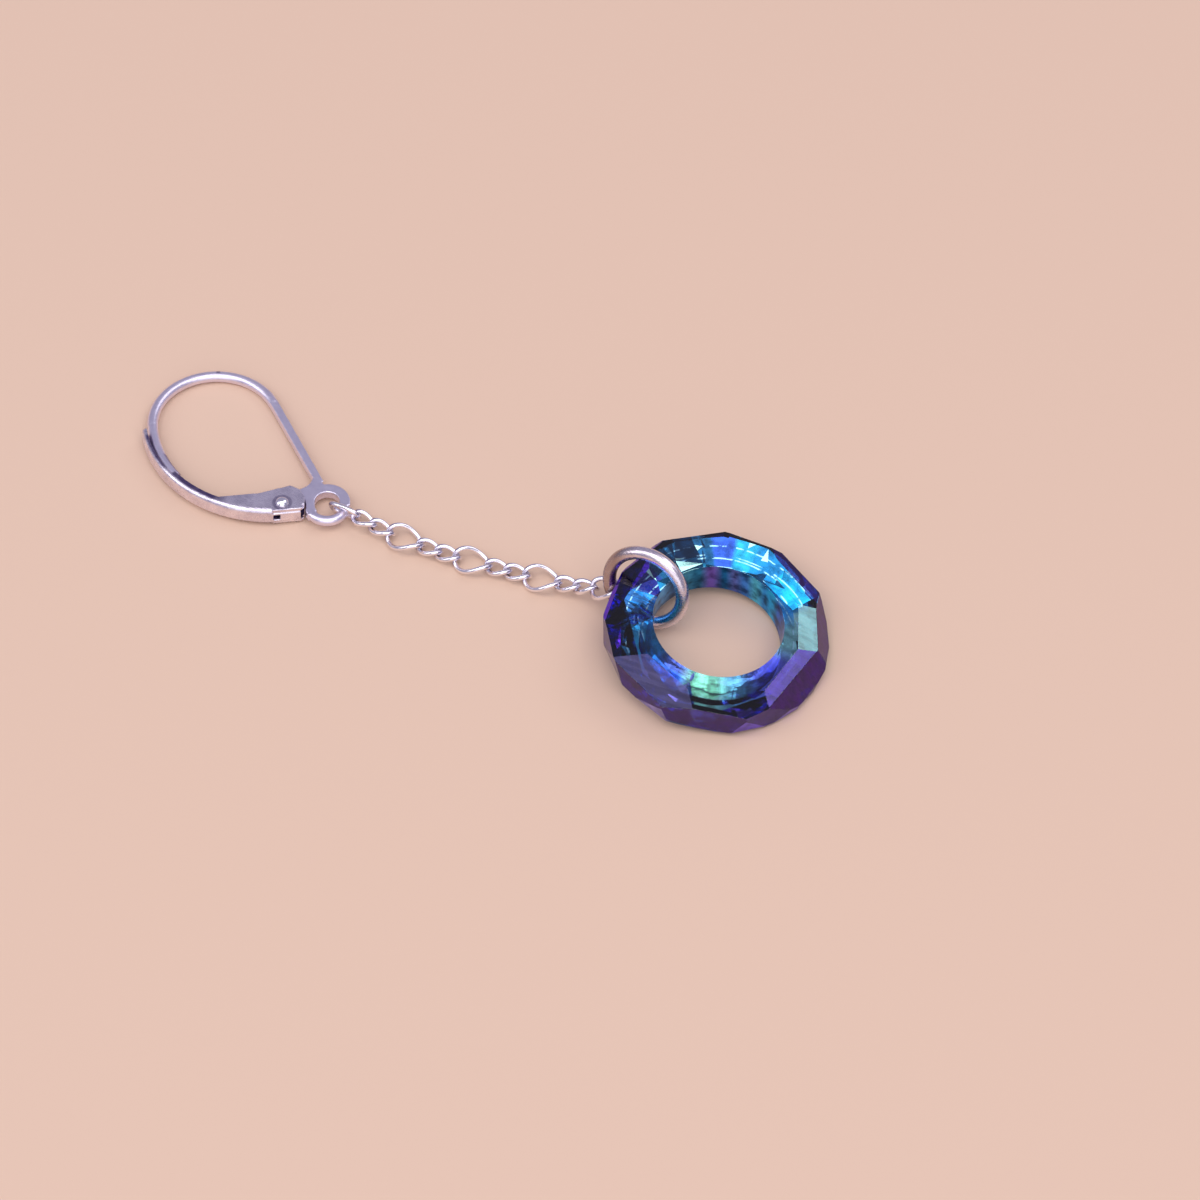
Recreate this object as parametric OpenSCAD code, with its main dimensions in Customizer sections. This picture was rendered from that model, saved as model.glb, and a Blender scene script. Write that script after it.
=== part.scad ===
/* [Crystal ring] */
// Diameter across the corners of the crystal ring's rim
crystal_d = 14.5; // [13.8:0.1:14.8]
// Thickness of the crystal ring, from table to table
crystal_h = 2.3; // [2.1:0.1:2.4]
// Diameter of the hole through the crystal ring
crystal_hole_d = 8.3; // [8:0.1:8.6]
// How far the nearest facets' inner edges are from the ring's middle
table_r = 5; // [4.8:0.05:5.1]
// Angle that the rim facets above the middle lean in from upright, in degrees
upper_lean = 4; // [2:1:8]
// Angle that the rim facets below the middle lean in from upright, in degrees
lower_lean = 10; // [8:1:14]
// Angle that the crystal ring leans, because it lies on the jump ring
crystal_tilt = 6.9; // [6.8:0.1:7.4]

/* [Jump ring] */
// Outer diameter of the heavy jump ring
jump_ring_d = 5.95; // [5.9:0.05:6.3]
// Thickness of the jump ring's wire
jump_wire_d = 0.86; // [0.7:0.02:0.86]
// Angle that the jump ring leans from upright, in degrees
jump_lean = 16; // [12:1:20]

/* [Chain] */
// Thickness of the chain's wire
chain_wire_d = 0.32; // [0.24:0.02:0.34]
// Overlap of two links, from the middle of one end to the middle of the other
link_cross = 0.38; // [0.37:0.01:0.39]
// Angle that the ends of the chain's plain links are twisted out of flat, in degrees
link_twist = 50; // [47:1:53]

/* [Ear hook] */
// Radius of the crown of the ear wire, at the wire's middle
crown_r = 4.05; // [3.97:0.02:4.13]
// Radius of the lower curve of the ear wire, at the wire's middle
lower_r = 8; // [7.8:0.05:8]
// Thickness of the round ear wire
wire_d = 0.7; // [0.6:0.02:0.74]
// Thickness of the flat part that the ear wire runs into
plate_t = 0.6; // [0.5:0.02:0.7]
// Width of the straight strip between the crown and the plate
strip_w = 0.52; // [0.46:0.02:0.6]
// Half of the narrow width of the oval hole in the eye that carries the chain
eye_hole_r = 0.8; // [0.78:0.01:0.82]
// Radius of the wire that the eye is bent from
eye_wire_r = 0.33; // [0.28:0.01:0.34]

/* [Lever] */
// Outer radius of the lever's back
lever_r = 8.4; // [8.35:0.05:8.5]
// Thickness of the sheet that the lever is folded from
sheet_t = 0.22; // [0.18:0.01:0.24]
// Space between the lever's two cheeks
cheek_gap = 0.82; // [0.8:0.02:0.86]
// Width of the cheeks along the lever's narrow part
cheek_w = 0.58; // [0.5:0.02:0.62]
// Width of the cheeks at the lever's tip, where the end of the ear wire lies between them
tip_cheek_w = 0.32; // [0.28:0.02:0.4]
// Radius of the rivet that the lever turns on
rivet_r = 0.25; // [0.2:0.01:0.26]

/* [Hidden] */
$fn = 96;
slack = 0.01;
// Height of the shapes that cut through the thin metal
cut_h = 2;

crystal_x = 16.9;
crystal_y = -0.26;

// Corners of the crystal's outline, as directions round it, read from above
upper_corners = [4, 27, 49, 79, 110, 145, 174, 201, 229, 265, 308, 338];
lower_corners = [6, 20, 40, 65, 88, 110, 132, 161, 190, 212, 240, 268, 300, 322, 340, 353];

// Columns of a facet: the direction it faces, how far it falls from level, in degrees,
// and how much farther out than table_r it starts
facing = 0;
fall = 1;
farther = 2;
upper_facets = [
    [23, 10, 0],
    [60, 13, 0.05],
    [93, 11, 0],
    [129, 13, 0],
    [163, 13, 0],
    [192, 14, 0],
    [218, 12, 0],
    [250, 16, 0.07],
    [296, 9, 0.1],
    [351, 12, 0.1],
    [350, 50, 0.87],
    [25, 55, 1.08],
    [61, 24, 0.58],
    [160, 40, 1.28],
    [188, 48, 1.35]
];
// The first of these faces the side that the ring rests on
lower_facets = [
    [352, 12, 0],
    [28, 14, 0],
    [66, 12, 0],
    [104, 14, 0],
    [142, 12, 0],
    [176, 58, 0.95],
    [216, 12, 0],
    [250, 14, 0.3],
    [284, 10, 0.4],
    [318, 12, 0.2]
];

jump_at = [crystal_x - 5.1, crystal_y + 0.6, 2.876];
jump_turn = -3;

// Columns of a link's form: half length and half width at the wire's middle,
// how full its ends are, and how far they are twisted
half_l = 0;
half_w = 1;
fullness = 2;
twist = 3;
small = [0.82, 0.47, 0.4, link_twist];
long = [1.26, 0.86, 0.2, link_twist];
eye_link = [1.02, 0.6, 0.4, 0];
end_link = [1.08, 0.72, 0.9, 30];
link_stations = 22;
wire_sides = 6;

// Columns of the chain: form, heading seen from above, climb and roll, in degrees
form = 0;
heading = 1;
climb = 2;
roll = 3;
links = [
    [eye_link, -4, 0, 106],
    [small, -7, -4, -14],
    [small, -4, -4, -8],
    [long, -2, -1, -2],
    [small, 0, -1, 0],
    [small, 3, 0, 0],
    [long, 5, 0, 0],
    [small, 6, 0, 0],
    [small, 6, 0, 0],
    [long, 5, 3, 0],
    [small, 4, 9, -2],
    [small, 1, 20, -6],
    [end_link, -2, 26, 10]
];
first_link_at = [crystal_x - 25.74, crystal_y - 0.01, 0.778];

hook_at = [crystal_x - 36.17, crystal_y + 3.26, 0.54];
hook_turn = -20.3;
hook_roll = -2.24;
hook_pitch = -1.12;

crown_at = [-0.35, -0.06];
strip_length = 7.6;
// Length over which the round wire narrows to the strip, and how much of it lies in the wire
run_in = 1.5;
run_in_lap = 0.1;
plate_points = [[7.6, 0.95], [7.9, 1.35], [8.3, 1.08], [8.6, 1], [9.2, 1.2], [9.3, -1.25],
    [8, -1.3], [7.69, -0.39], [7.81, 0.06], [7.79, 0.5]];
neck_points = [[7.81, 0.06], [8.1, 0], [8, -0.6], [7.9, -0.85], [7.9, -1.9], [7.5, -2],
    [7.5, -1.3], [7.69, -0.39]];
lobe_r = 0.42;
rivet_play = 0.03;
eye_stretch = 0.28;
eye_turn = 134;
seam_w = 0.06;
// The directions between which the eye is round wire, seen from the middle of its end.
// It meets the flat part at the seam in the first.
round_from = 130;
round_to = 270;

lever_tip = 234;
tip_cheek_end = 264;
lever_bend = 316.5;
fold_r = 0.34;
cheek_points = [[4.5, -5], [4.83, -4.44], [6.27, -2.64], [7.02, -1.19], [7.24, -0.73], [7.9, -0.53],
    [8.58, -0.76], [9.16, -1.33], [8.45, -3.08], [8.3, -4.5]];
// Where the cheeks reach out to the tab, past the rounded fold
cheek_end_points = [[7.5, -2.5], [8, -3.03], [9.13, -1.59], [9.16, -1.33], [8.5, -1.5]];
tab_turn = 52;
tab_w = 0.7;
tab_root = 0.1;
tab_length = 1.8;
tab_reach = 1.42;
tab_gap = 0.08;
tab_hole = 0.44;
hole_from_bend = 0.26;
head_r = 0.46;
top_head_h = 0.3;
low_head_h = 0.13;

eye_mid_r = eye_hole_r + eye_wire_r;
eye_outer_r = eye_hole_r + 2 * eye_wire_r;
strip_fall = 21.2;
crown_end = 228.5;
arc_lap = 1.5;
wire_end = 262.6;
lever_h = cheek_gap + 2 * sheet_t;
rivet_at = [7.93, -2.12];
eye_at = [9.77, 0.08];
lever_mid = [1.97, 2.7];

module torus(ring_r, bar_r) {
    rotate_extrude() translate([ring_r, 0]) circle(bar_r);
}

module arc_bar(ring_r, bar_r, from, to) {
    rotate([0, 0, from])
        rotate_extrude(angle = to - from) translate([ring_r, 0]) circle(bar_r);
}

// A block that fills everything beyond a plane, which faces the direction turn
// and rises by the angle up, at a distance reach from the middle
module beyond(turn, up, reach) {
    block = 3 * crystal_d;
    rotate([0, 0, turn]) rotate([0, -up, 0])
        translate([reach, -block / 2, -block / 2]) cube(block);
}

// The planes of the rim, which leans in upwards for side 1 and downwards for side -1
module rim_planes(corners, lean, side) {
    for (i = [0 : len(corners) - 1]) {
        last = i + 1 == len(corners);
        next = last ? corners[0] + 360 : corners[i + 1];
        reach = crystal_d / 2 * cos((next - corners[i]) / 2) * cos(lean);
        beyond((corners[i] + next) / 2, side * lean, reach);
    }
}

// The planes of some facets, which face up for side 1 and down for side -1
module facet_planes(facets, side) {
    for (facet = facets) {
        up = 90 - facet[fall];
        reach = (table_r + facet[farther]) * cos(up) + crystal_h / 2 * sin(up);
        beyond(facet[facing], side * up, reach);
    }
}

module crystal_ring() {
    rest_side = lower_facets[0][facing];
    rest_lift = crystal_h / 2 * cos(crystal_tilt) + table_r * sin(crystal_tilt);
    color("slateblue")
    translate([crystal_x, crystal_y, rest_lift])
    rotate([0, 0, rest_side]) rotate([0, crystal_tilt, 0]) rotate([0, 0, -rest_side])
    difference() {
        cylinder(h = crystal_h, r = crystal_d, center = true);
        cylinder(h = 2 * crystal_h, d = crystal_hole_d, center = true);
        rim_planes(upper_corners, upper_lean, 1);
        rim_planes(lower_corners, lower_lean, -1);
        facet_planes(upper_facets, 1);
        facet_planes(lower_facets, -1);
    }
}

module jump_ring() {
    mid_r = (jump_ring_d - jump_wire_d) / 2;
    color("rosybrown")
    translate(jump_at) rotate([0, 0, jump_turn]) rotate([90 - jump_lean, 0, 0])
        torus(mid_r, jump_wire_d / 2);
}

// A link lies along X and is one closed wire, whose ends can be twisted out of flat
function along(kind, t) = kind[half_w] * cos(t)
    + (kind[half_l] - kind[half_w]) * ((1 + kind[fullness]) * cos(t) - kind[fullness] * pow(cos(t), 3));
function twist_at(kind, t) = -kind[twist] * along(kind, t) / kind[half_l];
function wire_point(kind, t) = [
    along(kind, t),
    kind[half_w] * sin(t) * cos(twist_at(kind, t)),
    kind[half_w] * sin(t) * sin(twist_at(kind, t))
];
function unit(v) = v / norm(v);
function wire_way(kind, t) = unit(wire_point(kind, t + 1) - wire_point(kind, t - 1));
function wire_up(kind, t) = [0, -sin(twist_at(kind, t)), cos(twist_at(kind, t))];

// One ring of points round the wire, at the angle t round the link
function wire_ring(kind, t) =
    let (side = unit(cross(wire_up(kind, t), wire_way(kind, t))))
    let (top = cross(wire_way(kind, t), side))
    [for (j = [0 : wire_sides - 1])
        wire_point(kind, t) + chain_wire_d / 2
            * (side * cos(360 * j / wire_sides) + top * sin(360 * j / wire_sides))];

module chain_link(kind) {
    points = [for (i = [0 : link_stations - 1]) each wire_ring(kind, 360 * i / link_stations)];
    faces = [for (i = [0 : link_stations - 1], j = [0 : wire_sides - 1])
        let (next_i = (i + 1) % link_stations, next_j = (j + 1) % wire_sides)
        [i * wire_sides + j, next_i * wire_sides + j,
            next_i * wire_sides + next_j, i * wire_sides + next_j]];
    polyhedron(points, faces);
}

// Each link follows the one before it, half of the way in either link's direction
function link_way(i) = [
    cos(links[i][climb]) * cos(links[i][heading]),
    cos(links[i][climb]) * sin(links[i][heading]),
    sin(links[i][climb])
];
function link_step(i) = links[i][form][half_l] + links[i + 1][form][half_l] - link_cross;
function link_at(i) = i == 0 ? first_link_at
    : link_at(i - 1) + link_step(i - 1) / 2 * (link_way(i - 1) + link_way(i));

module link(i) {
    color("silver")
    translate(link_at(i)) rotate([links[i][roll], -links[i][climb], links[i][heading]])
        chain_link(links[i][form]);
}

module hook_place() {
    translate(hook_at) rotate([0, 0, hook_turn]) rotate([0, hook_pitch, 0]) rotate([hook_roll, 0, 0])
        children();
}

// The oval of the eye, which lies along X
module eye_oval(reach) {
    square([eye_stretch, 2 * reach], center = true);
    for (side = [-1, 1]) translate([side * eye_stretch / 2, 0]) circle(reach);
}

module eye_place() {
    translate(eye_at) rotate([0, 0, eye_turn]) children();
}

module eye_wire() {
    eye_place() translate([-eye_stretch / 2, 0, 0])
        arc_bar(eye_mid_r, eye_wire_r, round_from, round_to + arc_lap);
}

module eye_flat() {
    far = 2 * eye_outer_r;
    mid_turn = (round_from + round_to) / 2;
    eye_place() difference() {
        eye_oval(eye_outer_r + slack);
        translate([-eye_stretch / 2, 0])
            polygon([[0, 0], for (turn = [round_from, mid_turn, round_to]) far * [cos(turn), sin(turn)]]);
    }
}

// Outline of the flat metal between the wire, the eye and the rivet
module plate_outline() {
    difference() {
        union() {
            translate(crown_at) rotate([0, 0, -strip_fall]) translate([0, crown_r - strip_w / 2])
                square([strip_length, strip_w]);
            polygon(plate_points);
            eye_flat();
        }
        translate(rivet_at) circle(tab_reach + tab_gap);
        eye_place() eye_oval(eye_hole_r - slack);
    }
    polygon(neck_points);
    translate(rivet_at) circle(lobe_r);
}

module ear_hook() {
    lower_mid = crown_at + (lower_r - crown_r) * [cos(crown_end - 180), sin(crown_end - 180)];
    color("lavender")
    hook_place() difference() {
        union() {
            translate(crown_at) arc_bar(crown_r, wire_d / 2, 90 - strip_fall, crown_end);
            translate(lower_mid) arc_bar(lower_r, wire_d / 2 - slack, crown_end - arc_lap, wire_end);
            translate(crown_at) rotate([0, 0, -strip_fall]) translate([-run_in_lap, crown_r, 0])
                rotate([0, 90, 0]) cylinder(h = run_in, r1 = wire_d / 2 - slack, r2 = strip_w / 2 - slack);
            translate([0, 0, -plate_t / 2]) linear_extrude(plate_t) plate_outline();
            eye_wire();
        }
        translate(rivet_at) cylinder(h = cut_h, r = rivet_r + rivet_play, center = true);
        eye_place() translate([-eye_stretch / 2, 0, 0]) rotate([0, 0, round_from])
            translate([0, -seam_w / 2, -cut_h / 2]) cube([2 * eye_outer_r, seam_w, cut_h]);
    }
}

// Cross-section of the narrow channel, with its back outwards and its folds rounded
module channel_section() {
    difference() {
        union() {
            translate([lever_r - cheek_w, -lever_h / 2]) square([cheek_w - fold_r, lever_h]);
            translate([lever_r - fold_r, -lever_h / 2 + fold_r]) square([fold_r, lever_h - 2 * fold_r]);
            for (side = [-1, 1])
                translate([lever_r - fold_r, side * (lever_h / 2 - fold_r)]) circle(fold_r);
        }
        translate([0, -cheek_gap / 2]) square([lever_r - sheet_t, cheek_gap]);
    }
}

// What is cut away from both cheeks at the lever's tip
module tip_cut() {
    cut_w = cheek_w - tip_cheek_w;
    translate([lever_r - cheek_w - cut_w, -cut_h / 2]) square([2 * cut_w, cut_h]);
}

module cheek_outline() {
    intersection() {
        polygon(cheek_points);
        translate(lever_mid) circle(lever_r - fold_r);
    }
    polygon(cheek_end_points);
}

module lever() {
    bend = lever_mid + lever_r * [cos(lever_bend), sin(lever_bend)];
    color("lightsteelblue")
    hook_place() difference() {
        union() {
            translate(lever_mid) rotate([0, 0, lever_tip])
                rotate_extrude(angle = lever_bend - lever_tip) channel_section();
            for (z = [-lever_h / 2, cheek_gap / 2])
                translate([0, 0, z]) linear_extrude(sheet_t) cheek_outline();
            translate([bend[0], bend[1], -tab_w / 2]) rotate([0, 0, tab_turn])
                translate([-tab_root, 0, 0]) cube([tab_length + tab_root, sheet_t, tab_w]);
        }
        translate(lever_mid) rotate([0, 0, lever_tip - arc_lap])
            rotate_extrude(angle = tip_cheek_end - lever_tip + arc_lap) tip_cut();
        translate(rivet_at) cylinder(h = cut_h, r = rivet_r + slack, center = true);
        translate([bend[0], bend[1], 0]) rotate([0, 0, tab_turn])
            translate([hole_from_bend, 0, 0]) cube([tab_hole, 4 * sheet_t, tab_hole], center = true);
    }
}

// A low dome of radius head_r and height head_h, standing on the XY plane
module dome(head_r, head_h) {
    ball_r = (head_r * head_r + head_h * head_h) / (2 * head_h);
    intersection() {
        translate([0, 0, head_h - ball_r]) sphere(ball_r);
        cylinder(h = cut_h, r = cut_h);
    }
}

module rivet() {
    reach = lever_h / 2 + slack;
    color("white")
    hook_place() translate(rivet_at) {
        cylinder(h = 2 * reach, r = rivet_r, center = true);
        translate([0, 0, reach]) dome(head_r, top_head_h);
        translate([0, 0, -reach]) mirror([0, 0, 1]) dome(head_r, low_head_h);
    }
}

ear_hook();
lever();
rivet();
link(0);  // link_01
link(1);  // link_02
link(2);  // link_03
link(3);  // link_04
link(4);  // link_05
link(5);  // link_06
link(6);  // link_07
link(7);  // link_08
link(8);  // link_09
link(9);  // link_10
link(10);  // link_11
link(11);  // link_12
link(12);  // link_13
jump_ring();
crystal_ring();
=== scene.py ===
"""Looks for the hook earring: finishes, floor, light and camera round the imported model."""
import math

import bmesh
import bpy
from mathutils import Matrix, Vector


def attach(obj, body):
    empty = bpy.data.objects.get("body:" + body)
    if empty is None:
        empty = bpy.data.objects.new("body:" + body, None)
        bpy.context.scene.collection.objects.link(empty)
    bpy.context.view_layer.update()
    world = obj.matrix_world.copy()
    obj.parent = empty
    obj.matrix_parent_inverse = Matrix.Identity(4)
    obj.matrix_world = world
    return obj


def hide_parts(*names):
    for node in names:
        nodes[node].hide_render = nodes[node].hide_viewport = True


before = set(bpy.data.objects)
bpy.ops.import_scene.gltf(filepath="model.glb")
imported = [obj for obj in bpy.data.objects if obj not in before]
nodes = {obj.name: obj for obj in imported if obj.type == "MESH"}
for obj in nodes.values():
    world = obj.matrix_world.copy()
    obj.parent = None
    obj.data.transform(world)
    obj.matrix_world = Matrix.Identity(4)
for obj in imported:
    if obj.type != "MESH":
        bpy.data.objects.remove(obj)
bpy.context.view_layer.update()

MM = 0.001
COLLECTION = bpy.context.scene.collection

# The camera, as fitted to the photograph: millimetres and degrees in the row frame
CAMERA_RISE = 52
CAMERA_TURN = 24
CAMERA_DISTANCE = 450
CAMERA_LENS = 213.766
SENSOR_WIDTH = 36
# One point in the crystal's hole: in the row frame, and from the camera's aim on the table, before its turn
ANCHOR_AT = (17.14, -0.69)
ANCHOR_FROM_TARGET = (7.345, -4.381)


def add_camera():
    """The camera looks down at the middle of the picture from the photograph's angle."""
    rise, turn = math.radians(CAMERA_RISE), math.radians(CAMERA_TURN)
    back = Vector((0, -CAMERA_DISTANCE * math.cos(rise))) - Vector(ANCHOR_FROM_TARGET)
    back = Matrix.Rotation(turn, 2) @ back + Vector(ANCHOR_AT)
    data = bpy.data.cameras.new("camera")
    data.lens = CAMERA_LENS
    data.sensor_width = SENSOR_WIDTH
    data.clip_start = 0.01
    camera = bpy.data.objects.new("camera", data)
    camera.location = (back.x * MM, back.y * MM, CAMERA_DISTANCE * math.sin(rise) * MM)
    camera.rotation_euler = (math.pi / 2 - rise, 0, turn)
    COLLECTION.objects.link(camera)
    bpy.context.scene.camera = camera


add_camera()


def mesh_object(name, bm):
    """A new object from a bmesh in millimetres."""
    bmesh.ops.scale(bm, vec=(MM, MM, MM), verts=bm.verts)
    bmesh.ops.recalc_face_normals(bm, faces=bm.faces)
    mesh = bpy.data.meshes.new(name)
    bm.to_mesh(mesh)
    bm.free()
    obj = bpy.data.objects.new(name, mesh)
    COLLECTION.objects.link(obj)
    return obj


def cad_bmesh(node):
    """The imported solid's mesh in millimetres, with its faces joined."""
    bm = bmesh.new()
    bm.from_mesh(nodes[node].data)
    bmesh.ops.scale(bm, vec=(1 / MM,) * 3, verts=bm.verts)
    bmesh.ops.remove_doubles(bm, verts=bm.verts, dist=1e-4)
    return bm


def apply_modifiers(obj):
    """Puts the result of the object's modifiers in place of its mesh."""
    depsgraph = bpy.context.evaluated_depsgraph_get()
    mesh = bpy.data.meshes.new_from_object(obj.evaluated_get(depsgraph))
    obj.modifiers.clear()
    old = obj.data
    obj.data = mesh
    bpy.data.meshes.remove(old)


def softened(node, name, voxel, rounds):
    """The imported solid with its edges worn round, as a piece of its own."""
    bm = cad_bmesh(node)
    mesh = bpy.data.meshes.new(name)
    bm.to_mesh(mesh)
    bm.free()
    obj = bpy.data.objects.new(name, mesh)
    COLLECTION.objects.link(obj)
    remesh = obj.modifiers.new("remesh", "REMESH")
    remesh.mode = "VOXEL"
    remesh.voxel_size = voxel
    smooth = obj.modifiers.new("smooth", "SMOOTH")
    smooth.factor = 0.5
    smooth.iterations = rounds
    apply_modifiers(obj)
    obj.data.transform(Matrix.Scale(MM, 4))
    obj.data.shade_smooth()
    return obj


# Materials


def material(name):
    """A new material, with its node tree and its shader."""
    mat = bpy.data.materials.new(name)
    mat.use_nodes = True
    tree = mat.node_tree
    return mat, tree, tree.nodes["Principled BSDF"]


def plain_metal(name, colour, roughness):
    mat, tree, shader = material(name)
    shader.inputs["Base Color"].default_value = (*colour, 1)
    shader.inputs["Metallic"].default_value = 1
    shader.inputs["Roughness"].default_value = roughness
    return mat


def link_nodes(tree, *pairs):
    for source, target in pairs:
        tree.links.new(source, target)


def add_node(tree, kind, inputs=(), **settings):
    """A node with its settings, and its inputs joined to sockets or set to values."""
    node = tree.nodes.new(kind)
    for key, value in settings.items():
        setattr(node, key, value)
    for key, value in dict(inputs).items():
        if isinstance(value, bpy.types.NodeSocket):
            tree.links.new(value, node.inputs[key])
        else:
            node.inputs[key].default_value = value
    return node


# Name of the painted amount of stain and painted shade, from 0 to 1
STAIN_AND_SHADE = "stain_and_shade"
# How often patches and the grain of scratches repeat, to the metre, and the grain's depth in metres
PATCH_SCALE = 900
GRAIN_SCALE = (2500, 16000, 9000)
GRAIN_TURN = -0.5
GRAIN_DEPTH = 0.00003


def spread(tree, value, start, end, low, high):
    """A value that goes from low to high while the given one goes from start to end."""
    return add_node(tree, "ShaderNodeMapRange", {
        "Value": value, "From Min": start, "From Max": end, "To Min": low, "To Max": high}).outputs[0]


def worn_metal(name, colour, stain_and_shade, roughness, patches, scratches):
    """Metal with fine scratches and faint patches, darkened to the colour stain_and_shade where stains and
    painted shade are stored.
    """
    mat, tree, shader = material(name)
    coords = add_node(tree, "ShaderNodeTexCoord").outputs["Object"]
    cloud = add_node(tree, "ShaderNodeTexNoise", {
        "Vector": coords, "Scale": PATCH_SCALE, "Detail": 5, "Roughness": 0.65})
    cover = spread(tree, cloud.outputs["Fac"], 0.4, 0.7, 0, patches)
    painted = add_node(tree, "ShaderNodeAttribute", attribute_name=STAIN_AND_SHADE)
    amount = add_node(tree, "ShaderNodeMath", {0: cover, 1: painted.outputs["Fac"]},
                      operation="ADD", use_clamp=True)
    mix = add_node(tree, "ShaderNodeMix", {0: amount.outputs[0], 6: (*colour, 1), 7: (*stain_and_shade, 1)},
                   data_type="RGBA")
    turned = add_node(tree, "ShaderNodeMapping", {
        "Vector": coords, "Rotation": (0, 0, GRAIN_TURN), "Scale": GRAIN_SCALE})
    grain = add_node(tree, "ShaderNodeTexNoise", {"Vector": turned.outputs[0], "Scale": 1, "Detail": 3})
    gloss = spread(tree, grain.outputs["Fac"], 0.3, 0.7, roughness * 0.8, roughness * 1.25)
    bump = add_node(tree, "ShaderNodeBump", {
        "Height": grain.outputs["Fac"], "Strength": scratches, "Distance": GRAIN_DEPTH})
    link_nodes(tree, (mix.outputs[2], shader.inputs["Base Color"]), (gloss, shader.inputs["Roughness"]),
               (bump.outputs[0], shader.inputs["Normal"]))
    shader.inputs["Metallic"].default_value = 1
    return mat


# Colour, colour of the stains and painted shade, roughness, share of patches and depth of scratches
wire_silver = worn_metal("wire_silver", (0.86, 0.81, 0.94), (0.20, 0.15, 0.30), 0.36, 0.08, 0.03)
lever_silver = worn_metal("lever_silver", (0.90, 0.84, 0.92), (0.16, 0.12, 0.25), 0.30, 0.35, 0.25)
chain_silver = worn_metal("chain_silver", (0.96, 0.93, 0.97), (0.24, 0.18, 0.32), 0.17, 0.08, 0.05)
ring_silver = worn_metal("ring_silver", (0.84, 0.77, 0.83), (0.36, 0.27, 0.25), 0.24, 0.22, 0.35)

# Pieces


def finish_piece(obj, node, body, mat):
    """Gives a piece its material, the solid that it stands for and the body that it rides on."""
    obj.data.materials.clear()
    obj.data.materials.append(mat)
    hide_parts(node)
    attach(obj, body)


def ramp(value, low, high):
    """From 0 to 1 while the value goes from low to high, which may be the smaller one."""
    return min(max((value - low) / (high - low), 0), 1)


def paint(obj, value):
    """Stores the amount of stain and painted shade at each vertex, from its place in millimetres and its
    normal.
    """
    layer = obj.data.attributes.new(STAIN_AND_SHADE, "FLOAT", "POINT")
    layer.data.foreach_set("value", [value(v.co / MM, v.normal) for v in obj.data.vertices])


# Where the hook's own drawing lies in the row frame, and points of it in millimetres
HOOK_PLACE = (
    Matrix.Translation((-19.27, 3, 0.54))
    @ Matrix.Rotation(math.radians(-20.3), 4, "Z")
    @ Matrix.Rotation(math.radians(-1.12), 4, "Y")
    @ Matrix.Rotation(math.radians(-2.24), 4, "X")
)
HOOK_INVERSE = HOOK_PLACE.inverted()
CROWN_MID = Vector((-0.35, -0.06))
LEVER_MID = Vector((1.97, 2.7))
RIVET_AT = Vector((7.93, -2.12))


def in_hook(point, middle):
    """Direction and distance from a point of the hook's drawing, and height in it."""
    at = HOOK_INVERSE @ point
    away = at.xy - middle
    return math.degrees(math.atan2(away.y, away.x)) % 360, away.length, at.z


# Inside of the lever's channel, painted dark as shade: half its height, and its reach from the middle of
# the lever's arc
CHANNEL_HALF_H = 0.42
CHANNEL_REACH = 8.22
# The lever's upper cheek, where dark reflections are painted: its lowest height, and how far up it faces
CHEEK_HEIGHT = 0.2
CHEEK_UP = 0.5
# Painted dark reflections along the lever's upper cheek: two distances and, for both ends, two directions
# between which each one fades in
NARROW_DARK_REFLECTION = ((8.2, 8.08), (263, 265), (296, 288))
TIP_DARK_REFLECTION = ((8.3, 8.2), (237, 239), (261, 259))
# Distances from the rivet between which a darker ring round it fades in
RIVET_DARK_RING = (0.68, 0.6)
# Darkening on the ear wire: painted shade inside the lever's channel, and a stain at a crimp on the crown,
# by its direction and reach
INNER_SHADE = ((7.62, 7.5), (249, 251))
INNER_END = 266
CRIMP_TURN = 134
CRIMP_STAIN = ((2.2, 1), (4.0, 4.1))
# Places along the earring between which the jump ring's stain fades in
RING_STAIN = (11, 9.6)


def along_lever(reach, turn, stain_and_shade):
    """How strong a painted dark reflection along the lever is at a distance and a direction."""
    fade, start, end = stain_and_shade
    return ramp(reach, *fade) * ramp(turn, *start) * ramp(turn, *end)


def lever_painted_shade(point, normal):
    """Painted shade darkens the inside of the channel; the upper cheek gets painted dark reflections at its
    edges and a darker ring round the rivet.
    """
    turn, reach, height = in_hook(point, LEVER_MID)
    # Painted shade: the inside of the channel is dark
    if abs(height) < CHANNEL_HALF_H and reach < CHANNEL_REACH:
        return 1
    if height < CHEEK_HEIGHT or normal.z < CHEEK_UP:
        return 0
    _, from_rivet, _ = in_hook(point, RIVET_AT)
    # Painted dark reflections along the upper cheek's edges, and a darker ring round the rivet
    narrow = 0.85 * along_lever(reach, turn, NARROW_DARK_REFLECTION)
    tip = 0.8 * along_lever(reach, turn, TIP_DARK_REFLECTION)
    return max(narrow, tip, 0.45 * ramp(from_rivet, *RIVET_DARK_RING))


def hook_shade_and_stain(point, normal):
    """The ear wire is painted dark as shade where it lies in the lever's channel, and stained at the crimp
    on its crown.
    """
    turn, reach, _ = in_hook(point, LEVER_MID)
    # Painted shade where the wire lies inside the lever's channel
    inner = ramp(reach, *INNER_SHADE[0]) * ramp(turn, *INNER_SHADE[1])
    crown_turn, crown_reach, _ = in_hook(point, CROWN_MID)
    crimp = ramp(abs(crown_turn - CRIMP_TURN), *CRIMP_STAIN[0]) * ramp(crown_reach, *CRIMP_STAIN[1])
    return 0.8 * max(inner if turn < INNER_END else 0, crimp)


def ring_stain(point, normal):
    """The jump ring is brownish on its side towards the chain."""
    return 0.8 * ramp(point.x, *RING_STAIN)


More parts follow.
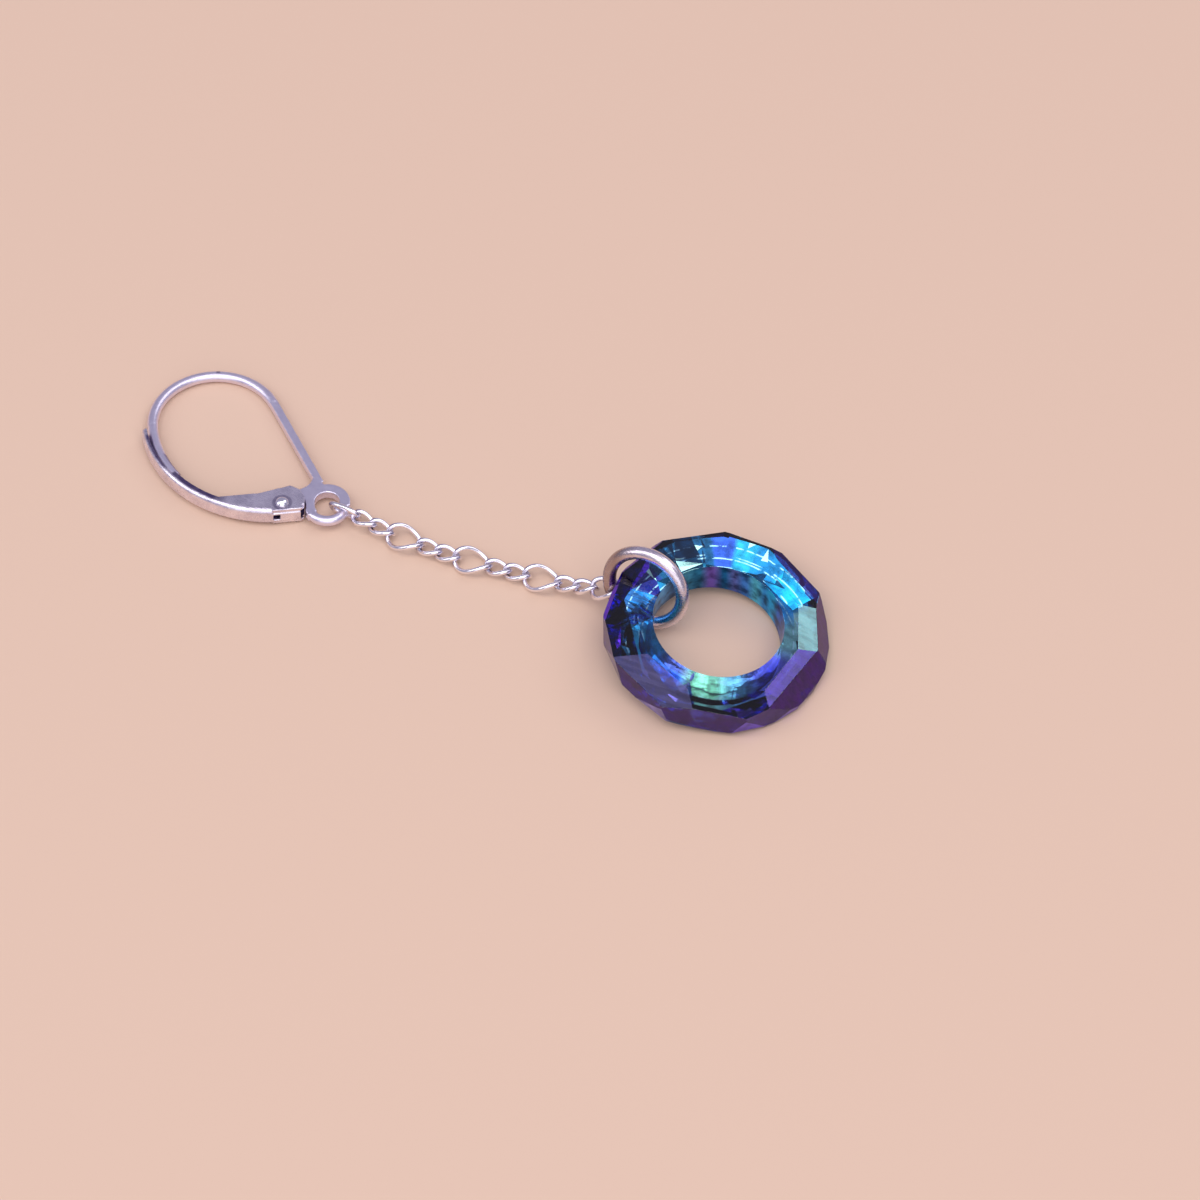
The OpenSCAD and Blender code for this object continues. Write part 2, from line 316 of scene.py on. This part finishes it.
# The hook's metal: size of the remeshed cells in millimetres, and rounds of smoothing that wear the edges
hook_piece = softened("ear_hook", "hook_wire", 0.045, 4)
# The ear wire's painted shade in the lever, and the stain at its crimp
paint(hook_piece, hook_shade_and_stain)
finish_piece(hook_piece, "ear_hook", "hook", wire_silver)
lever_piece = softened("lever", "lever_sheet", 0.04, 3)
# The lever's painted shade and painted dark reflections
paint(lever_piece, lever_painted_shade)
finish_piece(lever_piece, "lever", "lever", lever_silver)
finish_piece(softened("rivet", "rivet_heads", 0.035, 3), "rivet", "lever",
             plain_metal("rivet_silver", (0.9, 0.88, 0.95), 0.2))

# The chain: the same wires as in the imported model, rounder
CHAIN_WIRE_R = 0.162
# Half length, half width, fullness of the sides and twist of each form of link
SMALL = (0.82, 0.47, 0.4, 50)
LONG = (1.26, 0.86, 0.2, 50)
EYE_LINK = (1.02, 0.6, 0.4, 0)
END_LINK = (1.08, 0.72, 0.9, 30)
# How far two links overlap, and the links' forms with their headings, climbs and rolls in degrees
LINK_CROSS = 0.38
LINKS = (
    (EYE_LINK, -4, 0, 106),
    (SMALL, -7, -4, -14),
    (SMALL, -4, -4, -8),
    (LONG, -2, -1, -2),
    (SMALL, 0, -1, 0),
    (SMALL, 3, 0, 0),
    (LONG, 5, 0, 0),
    (SMALL, 6, 0, 0),
    (SMALL, 6, 0, 0),
    (LONG, 5, 3, 0),
    (SMALL, 4, 9, -2),
    (SMALL, 1, 20, -6),
    (END_LINK, -2, 26, 10),
)
FIRST_LINK_AT = Vector((-8.84, -0.27, 0.778))
WIRE_SIDES = 14
LINK_STATIONS = 72


def link_centre_line(form, t):
    """The point at the angle t on the middle of a link's wire, and the twist there."""
    half_l, half_w, fullness, twist = form
    c = math.cos(t)
    along = half_w * c + (half_l - half_w) * ((1 + fullness) * c - fullness * c ** 3)
    turn = -math.radians(twist) * along / half_l
    across = half_w * math.sin(t)
    return Vector((along, across * math.cos(turn), across * math.sin(turn))), turn


def link_place(i, at):
    """Where a link lies, as a matrix from its own drawing."""
    _, heading, climb, roll = LINKS[i]
    turn = (Matrix.Rotation(math.radians(heading), 4, "Z")
            @ Matrix.Rotation(math.radians(-climb), 4, "Y")
            @ Matrix.Rotation(math.radians(roll), 4, "X"))
    return Matrix.Translation(at) @ turn


def link_way(i):
    """The direction that a link points in."""
    _, heading, climb, _ = LINKS[i]
    h, c = math.radians(heading), math.radians(climb)
    return Vector((math.cos(c) * math.cos(h), math.cos(c) * math.sin(h), math.sin(c)))


def tube(bm, points, ups, radius, sides):
    """A closed round wire along the points, each with a direction that stays up."""
    turns = [2 * math.pi * j / sides for j in range(sides)]
    rings = []
    count = len(points)
    for i, (point, up) in enumerate(zip(points, ups)):
        way = (points[(i + 1) % count] - points[i - 1]).normalized()
        side = up.cross(way).normalized()
        top = way.cross(side)
        rings.append([bm.verts.new(point + radius * (side * math.cos(t) + top * math.sin(t)))
                      for t in turns])
    for i in range(count):
        a, b = rings[i], rings[(i + 1) % count]
        for j in range(sides):
            k = (j + 1) % sides
            bm.faces.new((a[j], b[j], b[k], a[k]))


# A link's painted shade grows between these distances before the middle of the wire at its end, and is gone
# this far past that middle
SHADE_GROWS = (0.25, 0.05)
SHADE_GONE = 0.1


def link_painted_shade(form, at):
    """Links are painted darker inside both of their ends, as shade where they meet the next ones."""
    half_l = form[0]
    inner = ramp(abs(at.x), half_l - SHADE_GROWS[0], half_l - SHADE_GROWS[1])
    return 0.6 * inner * ramp(abs(at.x), half_l + SHADE_GONE, half_l)


def add_links():
    at = FIRST_LINK_AT
    for i, (form, _, _, _) in enumerate(LINKS):
        if i:
            step = LINKS[i - 1][0][0] + form[0] - LINK_CROSS
            at = at + step / 2 * (link_way(i - 1) + link_way(i))
        bm = bmesh.new()
        points, ups = [], []
        for s in range(LINK_STATIONS):
            point, turn = link_centre_line(form, 2 * math.pi * s / LINK_STATIONS)
            points.append(point)
            ups.append(Vector((0, -math.sin(turn), math.cos(turn))))
        tube(bm, points, ups, CHAIN_WIRE_R, WIRE_SIDES)
        bmesh.ops.transform(bm, matrix=link_place(i, at), verts=bm.verts)
        number = f"{i + 1:02d}"
        obj = mesh_object("chain_link_" + number, bm)
        obj.data.shade_smooth()
        away = link_place(i, at).inverted()
        # Painted shade where each link meets the next
        paint(obj, lambda point, normal: link_painted_shade(form, away @ point))
        finish_piece(obj, "link_" + number, "hook", chain_silver)


add_links()

# Jump ring
JUMP_AT = (11.8, 0.34, 2.876)
JUMP_RING_D = 5.95
JUMP_WIRE_D = 0.86
JUMP_TURN = -3
JUMP_LEAN = 16
JUMP_STATIONS = 160
JUMP_SIDES = 32


def add_jump_ring():
    bm = bmesh.new()
    mid = (JUMP_RING_D - JUMP_WIRE_D) / 2
    points = [Vector((mid * math.cos(a), mid * math.sin(a), 0))
              for a in (2 * math.pi * i / JUMP_STATIONS for i in range(JUMP_STATIONS))]
    tube(bm, points, [Vector((0, 0, 1))] * JUMP_STATIONS, JUMP_WIRE_D / 2, JUMP_SIDES)
    place = (Matrix.Translation(JUMP_AT) @ Matrix.Rotation(math.radians(JUMP_TURN), 4, "Z")
             @ Matrix.Rotation(math.radians(90 - JUMP_LEAN), 4, "X"))
    bmesh.ops.transform(bm, matrix=place, verts=bm.verts)
    obj = mesh_object("heavy_jump_ring", bm)
    obj.data.shade_smooth()
    paint(obj, ring_stain)
    finish_piece(obj, "jump_ring", "hook", ring_silver)


add_jump_ring()

# Crystal
CRYSTAL_AT = (16.9, -0.26)
# Colours of the coating: each starts at a direction round the ring, in degrees, and ends where the next
# one starts
UNDERSIDE = (
    (8, (0.30, 0.70, 0.66)), (46, (0.01, 0.38, 0.74)), (74, (0.01, 0.20, 0.46)),
    (92, (0.02, 0.36, 0.58)), (104, (0.03, 0.10, 0.50)), (116, (0.01, 0.09, 0.20)),
    (156, (0.02, 0.03, 0.22)), (172, (0.03, 0.16, 0.42)), (198, (0.02, 0.20, 0.38)),
    (232, (0.26, 0.25, 0.72)), (268, (0.03, 0.08, 0.32)), (300, (0.14, 0.08, 0.75)),
    (334, (0.12, 0.04, 0.62)),
)
BASE = (
    (8, (0.25, 0.65, 0.62)), (40, (0.01, 0.40, 0.90)), (75, (0.01, 0.16, 0.30)),
    (120, (0.01, 0.20, 0.34)), (165, (0.02, 0.28, 0.75)), (200, (0.02, 0.30, 0.50)),
    (235, (0.28, 0.30, 0.80)), (262, (0.24, 0.62, 0.52)), (298, (0.12, 0.34, 0.60)),
    (322, (0.10, 0.12, 0.62)),
)
HOLE_WALL = (
    (8, (0.02, 0.12, 0.55)), (50, (0.02, 0.42, 0.90)), (63, (0.03, 0.26, 0.70)),
    (72, (0.10, 0.60, 0.92)), (82, (0.05, 0.22, 0.72)), (94, (0.12, 0.18, 0.62)),
    (101, (0.01, 0.12, 0.34)), (112, (0.13, 0.09, 0.45)), (124, (0.02, 0.18, 0.38)),
    (137, (0.06, 0.34, 0.58)), (149, (0.02, 0.10, 0.28)), (159, (0.08, 0.36, 0.80)),
    (185, (0.02, 0.30, 0.65)), (262, (0.75, 1.0, 0.80)), (315, (0.55, 0.85, 0.75)),
    (335, (0.10, 0.15, 0.55)),
)
LEFT_VIOLET = ((90, (0.14, 0.04, 0.95)), (270, (0.10, 0.04, 0.75)))
# Films on single facets: direction, distance from the middle, colour and how strongly they cover the glass
FILMS = (
    (250, 6.2, (0.60, 0.56, 1.0), 0.36),
    (20, 5.8, (0.36, 0.74, 0.72), 0.3),
    (350, 6.6, (0.10, 0.04, 0.32), 0.55),
    (25, 6.6, (0.10, 0.04, 0.28), 0.55),
    (61, 6.6, (0.12, 0.05, 0.30), 0.5),
    (160, 6.8, (0.16, 0.06, 0.75), 0.5),
    (188, 6.7, (0.14, 0.04, 1.0), 0.7),
    (338, 5.6, (0.16, 0.10, 0.62), 0.32),
)
# Small facets on the underside that show as pale wedges: direction and distance from the middle
PALE_SPOTS = (
    (158, 5.9), (152, 6.2), (133, 5.2), (124, 6.3), (96, 6.6), (88, 6.4), (60, 6.7), (38, 5.2), (262, 6.4),
)
# Painted reflections of the hole's edge: colour of the thin broken lines round the hole, half their width
# in full and where they end
REFLECTION_LINE_COLOUR = (0.45, 0.85, 0.95, 1)
LINE_HALF_W = 0.03
LINE_EDGE = 0.06


def from_middle(tree, coords):
    """Where a point lies, from the crystal's middle."""
    middle = (CRYSTAL_AT[0] * MM, CRYSTAL_AT[1] * MM, 0)
    return add_node(tree, "ShaderNodeVectorMath", {0: coords, 1: middle}, operation="SUBTRACT").outputs[0]


def round_the_ring(tree, coords, bands, soft):
    """Colour by direction round the crystal's middle; soft is the width of a change in degrees."""
    turn = add_node(tree, "ShaderNodeTexGradient", {"Vector": from_middle(tree, coords)},
                    gradient_type="RADIAL")
    colours = add_node(tree, "ShaderNodeValToRGB", {"Fac": turn.outputs["Fac"]})
    half = soft / 2 / 360
    stops = []
    for i, (start, colour) in enumerate(bands):
        before = bands[i - 1][1]
        at = (start + 180) % 360 / 360
        stops += [(max(at - half, 0), before), (min(at + half, 1), colour)]
    stops.sort(key=lambda stop: stop[0])
    elements = colours.color_ramp.elements
    while len(elements) > 1:
        elements.remove(elements[0])
    elements[0].position = stops[0][0]
    elements[0].color = (*stops[0][1], 1)
    for at, colour in stops[1:]:
        element = elements.new(at)
        element.color = (*colour, 1)
    return colours.outputs["Color"]


def painted_reflection_ring(tree, coords, reach, speckle):
    """How much of a painted reflection lies at a point: a thin broken line that runs round the hole at this
    distance.
    """
    flat = add_node(tree, "ShaderNodeVectorMath", {0: from_middle(tree, coords), 1: (1, 1, 0)},
                    operation="MULTIPLY")
    length = add_node(tree, "ShaderNodeVectorMath", {0: flat.outputs[0]}, operation="LENGTH")
    off = add_node(tree, "ShaderNodeMath", {0: length.outputs["Value"], 1: -reach * MM}, operation="ADD")
    size = add_node(tree, "ShaderNodeMath", {0: off.outputs[0]}, operation="ABSOLUTE")
    near = spread(tree, size.outputs[0], LINE_HALF_W * MM, LINE_EDGE * MM, 0.8, 0)
    broken = spread(tree, speckle, 0.45, 0.52, 0, 1)
    return add_node(tree, "ShaderNodeMath", {0: near, 1: broken}, operation="MULTIPLY").outputs[0]


def coating(name, bands, soft, roughness, dapple=(1500, 0.55, 1.25), rings=()):
    """Coloured metal that shines through the glass, with painted reflections as pale lines round the hole
    at the rings' distances; dapple is the scale, low and high of its shade.
    """
    scale, low, high = dapple
    mat, tree, shader = material(name)
    coords = add_node(tree, "ShaderNodeTexCoord").outputs["Object"]
    colour = round_the_ring(tree, coords, bands, soft)
    speckle = add_node(tree, "ShaderNodeTexNoise", {"Vector": coords, "Scale": scale, "Detail": 3})
    shade = spread(tree, speckle.outputs["Fac"], 0.35, 0.65, low, high)
    scaled = add_node(tree, "ShaderNodeVectorMath", {0: colour, "Scale": shade}, operation="SCALE")
    mixed = scaled.outputs[0]
    # Painted reflections of the hole's edge: thin pale lines round the hole
    for reach in rings:
        line = painted_reflection_ring(tree, coords, reach, speckle.outputs["Fac"])
        mixed = add_node(tree, "ShaderNodeMix", {0: line, 6: mixed, 7: REFLECTION_LINE_COLOUR},
                         data_type="RGBA").outputs[2]
    link_nodes(tree, (mixed, shader.inputs["Base Color"]))
    shader.inputs["Metallic"].default_value = 1
    shader.inputs["Roughness"].default_value = roughness
    return mat


# How much the glass bends light, and how often and along what direction a film's streaks repeat
GLASS_IOR = 1.56
STREAK_TURN = 0.35
STREAK_SCALE = (300, 3000, 1500)


def clear_glass(name, colour):
    mat, _, shader = material(name)
    shader.inputs["Base Color"].default_value = (*colour, 1)
    shader.inputs["Transmission Weight"].default_value = 1
    shader.inputs["Roughness"].default_value = 0
    shader.inputs["IOR"].default_value = GLASS_IOR
    return mat


def film_glass(name, colour, cover):
    """Glass with a thin coloured metal film, in fine streaks."""
    mat = clear_glass(name, colour)
    tree = mat.node_tree
    shader = tree.nodes["Principled BSDF"]
    coords = add_node(tree, "ShaderNodeTexCoord").outputs["Object"]
    turned = add_node(tree, "ShaderNodeMapping", {
        "Vector": coords, "Rotation": (0, 0, STREAK_TURN), "Scale": STREAK_SCALE})
    streaks = add_node(tree, "ShaderNodeTexNoise", {"Vector": turned.outputs[0], "Scale": 1, "Detail": 4})
    amount = spread(tree, streaks.outputs["Fac"], 0.3, 0.7, cover * 0.6, cover * 1.4)
    link_nodes(tree, (amount, shader.inputs["Metallic"]))
    return mat


# The underside's finer cuts: spokes through the middle and chords round the hole, with their number,
# first direction and how far they stray, in degrees; then the chords' distance and its stray
SPOKE_COUNT = 9
SPOKE_START = 10
SPOKE_STRAY = 4
CHORD_COUNT = 11
CHORD_START = 5
CHORD_STRAY = 6
CHORD_REACH = 5.85
CHORD_REACH_STRAY = 0.15
# The cuts' corners that lie further out than the first are lifted by up to twice the second
CORNER_REACH = 4.4
CORNER_LIFT = 0.035

# What tells the crystal's facets apart: how far their normals point up, or outwards at the hole's wall,
# their area, and their distances and directions from the middle
DOWN = -0.6
WALL_LEAN = -0.5
RIM_LOW = -0.13
RIM_HIGH = 0.3
BASE_REACH = 5
VIOLET_DOWN = -0.1
VIOLET_REACH = 6
VIOLET_TURNS = (150, 220)
FILM_UP = 0.35
FILM_AREA = 0.5
# Edges between facets that meet at more than this many degrees are rounded by this many millimetres
SHARP = 8
EDGE_ROUND = 0.03
# Places of the crystal's materials; those of the films follow them
GLASS, COATING, WALL, RIM, BASE_COAT, PALE, VIOLET = range(7)


def wobble(i, seed):
    """A fixed number from -1 to 1 for each i."""
    return 2 * (math.sin(12.9898 * i + 78.233 * seed) * 43758.5453 % 1) - 1


def way_to(turn):
    """The level direction at an angle in degrees."""
    return Vector((math.cos(math.radians(turn)), math.sin(math.radians(turn))))


def turn_and_reach(point):
    """Direction in degrees and distance of a point from the crystal's middle."""
    x, y = point.x - CRYSTAL_AT[0], point.y - CRYSTAL_AT[1]
    return math.degrees(math.atan2(y, x)) % 360, math.hypot(x, y)


def faces_down(face):
    return face.normal.z < DOWN


def in_fixed_order(bm):
    """Numbers corners, edges and facets by where they lie, since cuts leave them in no fixed order."""
    ordered = (
        (bm.verts, lambda v: v.co.to_tuple()),
        (bm.edges, lambda e: sorted(v.index for v in e.verts)),
        (bm.faces, lambda f: sorted(v.index for v in f.verts)),
    )
    for elements, place in ordered:
        for i, element in enumerate(sorted(elements, key=place)):
            element.index = i
        elements.sort()


def cut_underside(bm):
    """Cuts the underside into small facets that lean a little each way, as a many-cut stone has."""
    def below():
        return [f for f in bm.faces if faces_down(f)]

    def cut(turn, reach):
        faces = below()
        edges = list(dict.fromkeys(e for f in faces for e in f.edges))
        corners = list(dict.fromkeys(v for f in faces for v in f.verts))
        way = way_to(turn).to_3d()
        bmesh.ops.bisect_plane(bm, geom=faces + edges + corners, dist=1e-4, plane_no=way,
                               plane_co=Vector((*CRYSTAL_AT, 0)) + way * reach)

    for i in range(SPOKE_COUNT):
        cut(SPOKE_START + 180 / SPOKE_COUNT * i + SPOKE_STRAY * wobble(i, 1), 0)
    for i in range(CHORD_COUNT):
        cut(CHORD_START + 360 / CHORD_COUNT * i + CHORD_STRAY * wobble(i, 2),
            CHORD_REACH + CHORD_REACH_STRAY * wobble(i, 3))
    bm.normal_update()
    inner = [v for v in bm.verts
             if all(faces_down(f) for f in v.link_faces) and turn_and_reach(v.co)[1] > CORNER_REACH]
    for i, v in enumerate(sorted(inner, key=lambda v: (round(v.co.x, 3), round(v.co.y, 3), v.co.z))):
        v.co.z += CORNER_LIFT + CORNER_LIFT * wobble(i, 4)
    bmesh.ops.triangulate(bm, faces=below())
    in_fixed_order(bm)
    bm.normal_update()


def nearest_face(bm, turn, reach, wanted):
    """The wanted facet whose middle is nearest to a place."""
    at = Vector(CRYSTAL_AT) + reach * way_to(turn)
    return min((f for f in bm.faces if wanted(f)), key=lambda f: (f.calc_center_median().xy - at).length)


def takes_film(face):
    return face.normal.z > FILM_UP and face.calc_area() > FILM_AREA


def crystal_materials():
    """The crystal's materials in the order of their places."""
    return [
        clear_glass("crystal_glass", (0.95, 0.97, 1)),
        # The coating and the base carry painted reflections as pale lines round the hole
        coating("crystal_coating", UNDERSIDE, 2, 0.03, rings=(5.1, 5.7, 6.4)),
        coating("crystal_wall", HOLE_WALL, 8, 0.05, (1300, 0.3, 1.4)),
        film_glass("crystal_rim", (0.11, 0.05, 0.42), 0.35),
        coating("crystal_base", BASE, 16, 0.03, rings=(4.75,)),
        plain_metal("crystal_pale", (0.42, 0.80, 0.70), 0.03),
        coating("crystal_violet", LEFT_VIOLET, 2, 0.04, (2500, 0.1, 1.6)),
    ]


def facet_material(face, turn, reach, pale):
    """The place of a facet's material, by where it lies and how it leans."""
    if face.normal.xy.dot(way_to(turn)) < WALL_LEAN:
        return WALL
    if face in pale:
        return PALE
    if face.normal.z < VIOLET_DOWN and reach > VIOLET_REACH and VIOLET_TURNS[0] < turn < VIOLET_TURNS[1]:
        return VIOLET
    if faces_down(face):
        return BASE_COAT if reach < BASE_REACH else COATING
    if face.normal.z < RIM_LOW:
        return COATING
    return RIM if face.normal.z < RIM_HIGH else GLASS


def add_crystal():
    bm = cad_bmesh("crystal_ring")
    bmesh.ops.dissolve_limit(bm, angle_limit=0.02, verts=bm.verts, edges=bm.edges)
    bm.normal_update()
    sharp = [e for e in bm.edges if len(e.link_faces) == 2 and e.calc_face_angle() > math.radians(SHARP)
             and all(f.normal.z > DOWN for f in e.link_faces)]
    bmesh.ops.bevel(bm, geom=sharp, offset=EDGE_ROUND, segments=2, profile=0.5, affect="EDGES",
                    clamp_overlap=True)
    cut_underside(bm)
    pale = [nearest_face(bm, turn, reach, faces_down) for turn, reach in PALE_SPOTS]
    films = {nearest_face(bm, turn, reach, takes_film): (colour, cover)
             for turn, reach, colour, cover in FILMS}
    materials = crystal_materials()
    for face in bm.faces:
        turn, reach = turn_and_reach(face.calc_center_median())
        face.material_index = facet_material(face, turn, reach, pale)
        if face.material_index == GLASS and face in films:
            face.material_index = len(materials)
            materials.append(film_glass(f"crystal_film_{turn:.0f}", *films[face]))
    obj = mesh_object("crystal_facets", bm)
    indices = [p.material_index for p in obj.data.polygons]
    finish_piece(obj, "crystal_ring", "hook", materials[GLASS])
    for mat in materials[GLASS + 1:]:
        obj.data.materials.append(mat)
    obj.data.polygons.foreach_set("material_index", indices)


add_crystal()

# Stage: half the floor's width in metres, and the colours of the floor and of the light all round
FLOOR_HALF_W = 3
FLOOR_COLOUR = (0.74, 0.53, 0.39, 1)
SKY_COLOUR = (0.40, 0.38, 0.52, 1)
SKY_STRENGTH = 0.8
# Lights: name, place to the camera's right, towards it and up in metres, size, power and colour
LIGHTS = (
    ("overhead", (0, 0.3, 0.8), (1.0, 0.8), 5, (1, 0.98, 1)),
    ("low_south", (0, 0.95, 0.4), (1.2, 0.6), 2, (1, 0.97, 0.98)),
    ("east", (0.62, -0.3, 0.75), (0.6, 0.6), 1.6, (0.97, 0.95, 1)),
    ("west", (-0.75, 0.12, 0.6), (0.5, 0.6), 1.7, (1, 0.98, 1)),
)


def add_stage():
    bm = bmesh.new()
    bmesh.ops.create_grid(bm, x_segments=1, y_segments=1, size=FLOOR_HALF_W)
    mesh = bpy.data.meshes.new("floor")
    bm.to_mesh(mesh)
    bm.free()
    floor = bpy.data.objects.new("floor", mesh)
    COLLECTION.objects.link(floor)
    mat, _, shader = material("floor")
    shader.inputs["Base Color"].default_value = FLOOR_COLOUR
    shader.inputs["Roughness"].default_value = 0.7
    mesh.materials.append(mat)


def add_light(name, at, size, power, colour):
    """A soft light that shines at the part's middle."""
    data = bpy.data.lights.new(name, "AREA")
    data.shape = "RECTANGLE"
    data.size, data.size_y = size
    data.energy = power
    data.color = colour
    light = bpy.data.objects.new(name, data)
    light.location = at
    light.rotation_euler = (-at).to_track_quat("-Z", "Y").to_euler()
    COLLECTION.objects.link(light)


def add_lights():
    turn = math.radians(CAMERA_TURN)
    right = Vector((math.cos(turn), math.sin(turn), 0))
    near = Vector((math.sin(turn), -math.cos(turn), 0))
    for name, place, size, power, colour in LIGHTS:
        at = right * place[0] + near * place[1] + Vector((0, 0, place[2]))
        add_light(name, at, size, power, colour)


def add_world():
    world = bpy.data.worlds.new("world")
    bpy.context.scene.world = world
    world.use_nodes = True
    back = world.node_tree.nodes["Background"]
    back.inputs["Color"].default_value = SKY_COLOUR
    back.inputs["Strength"].default_value = SKY_STRENGTH


add_stage()
add_lights()
add_world()
bpy.context.scene.view_settings.view_transform = "Standard"
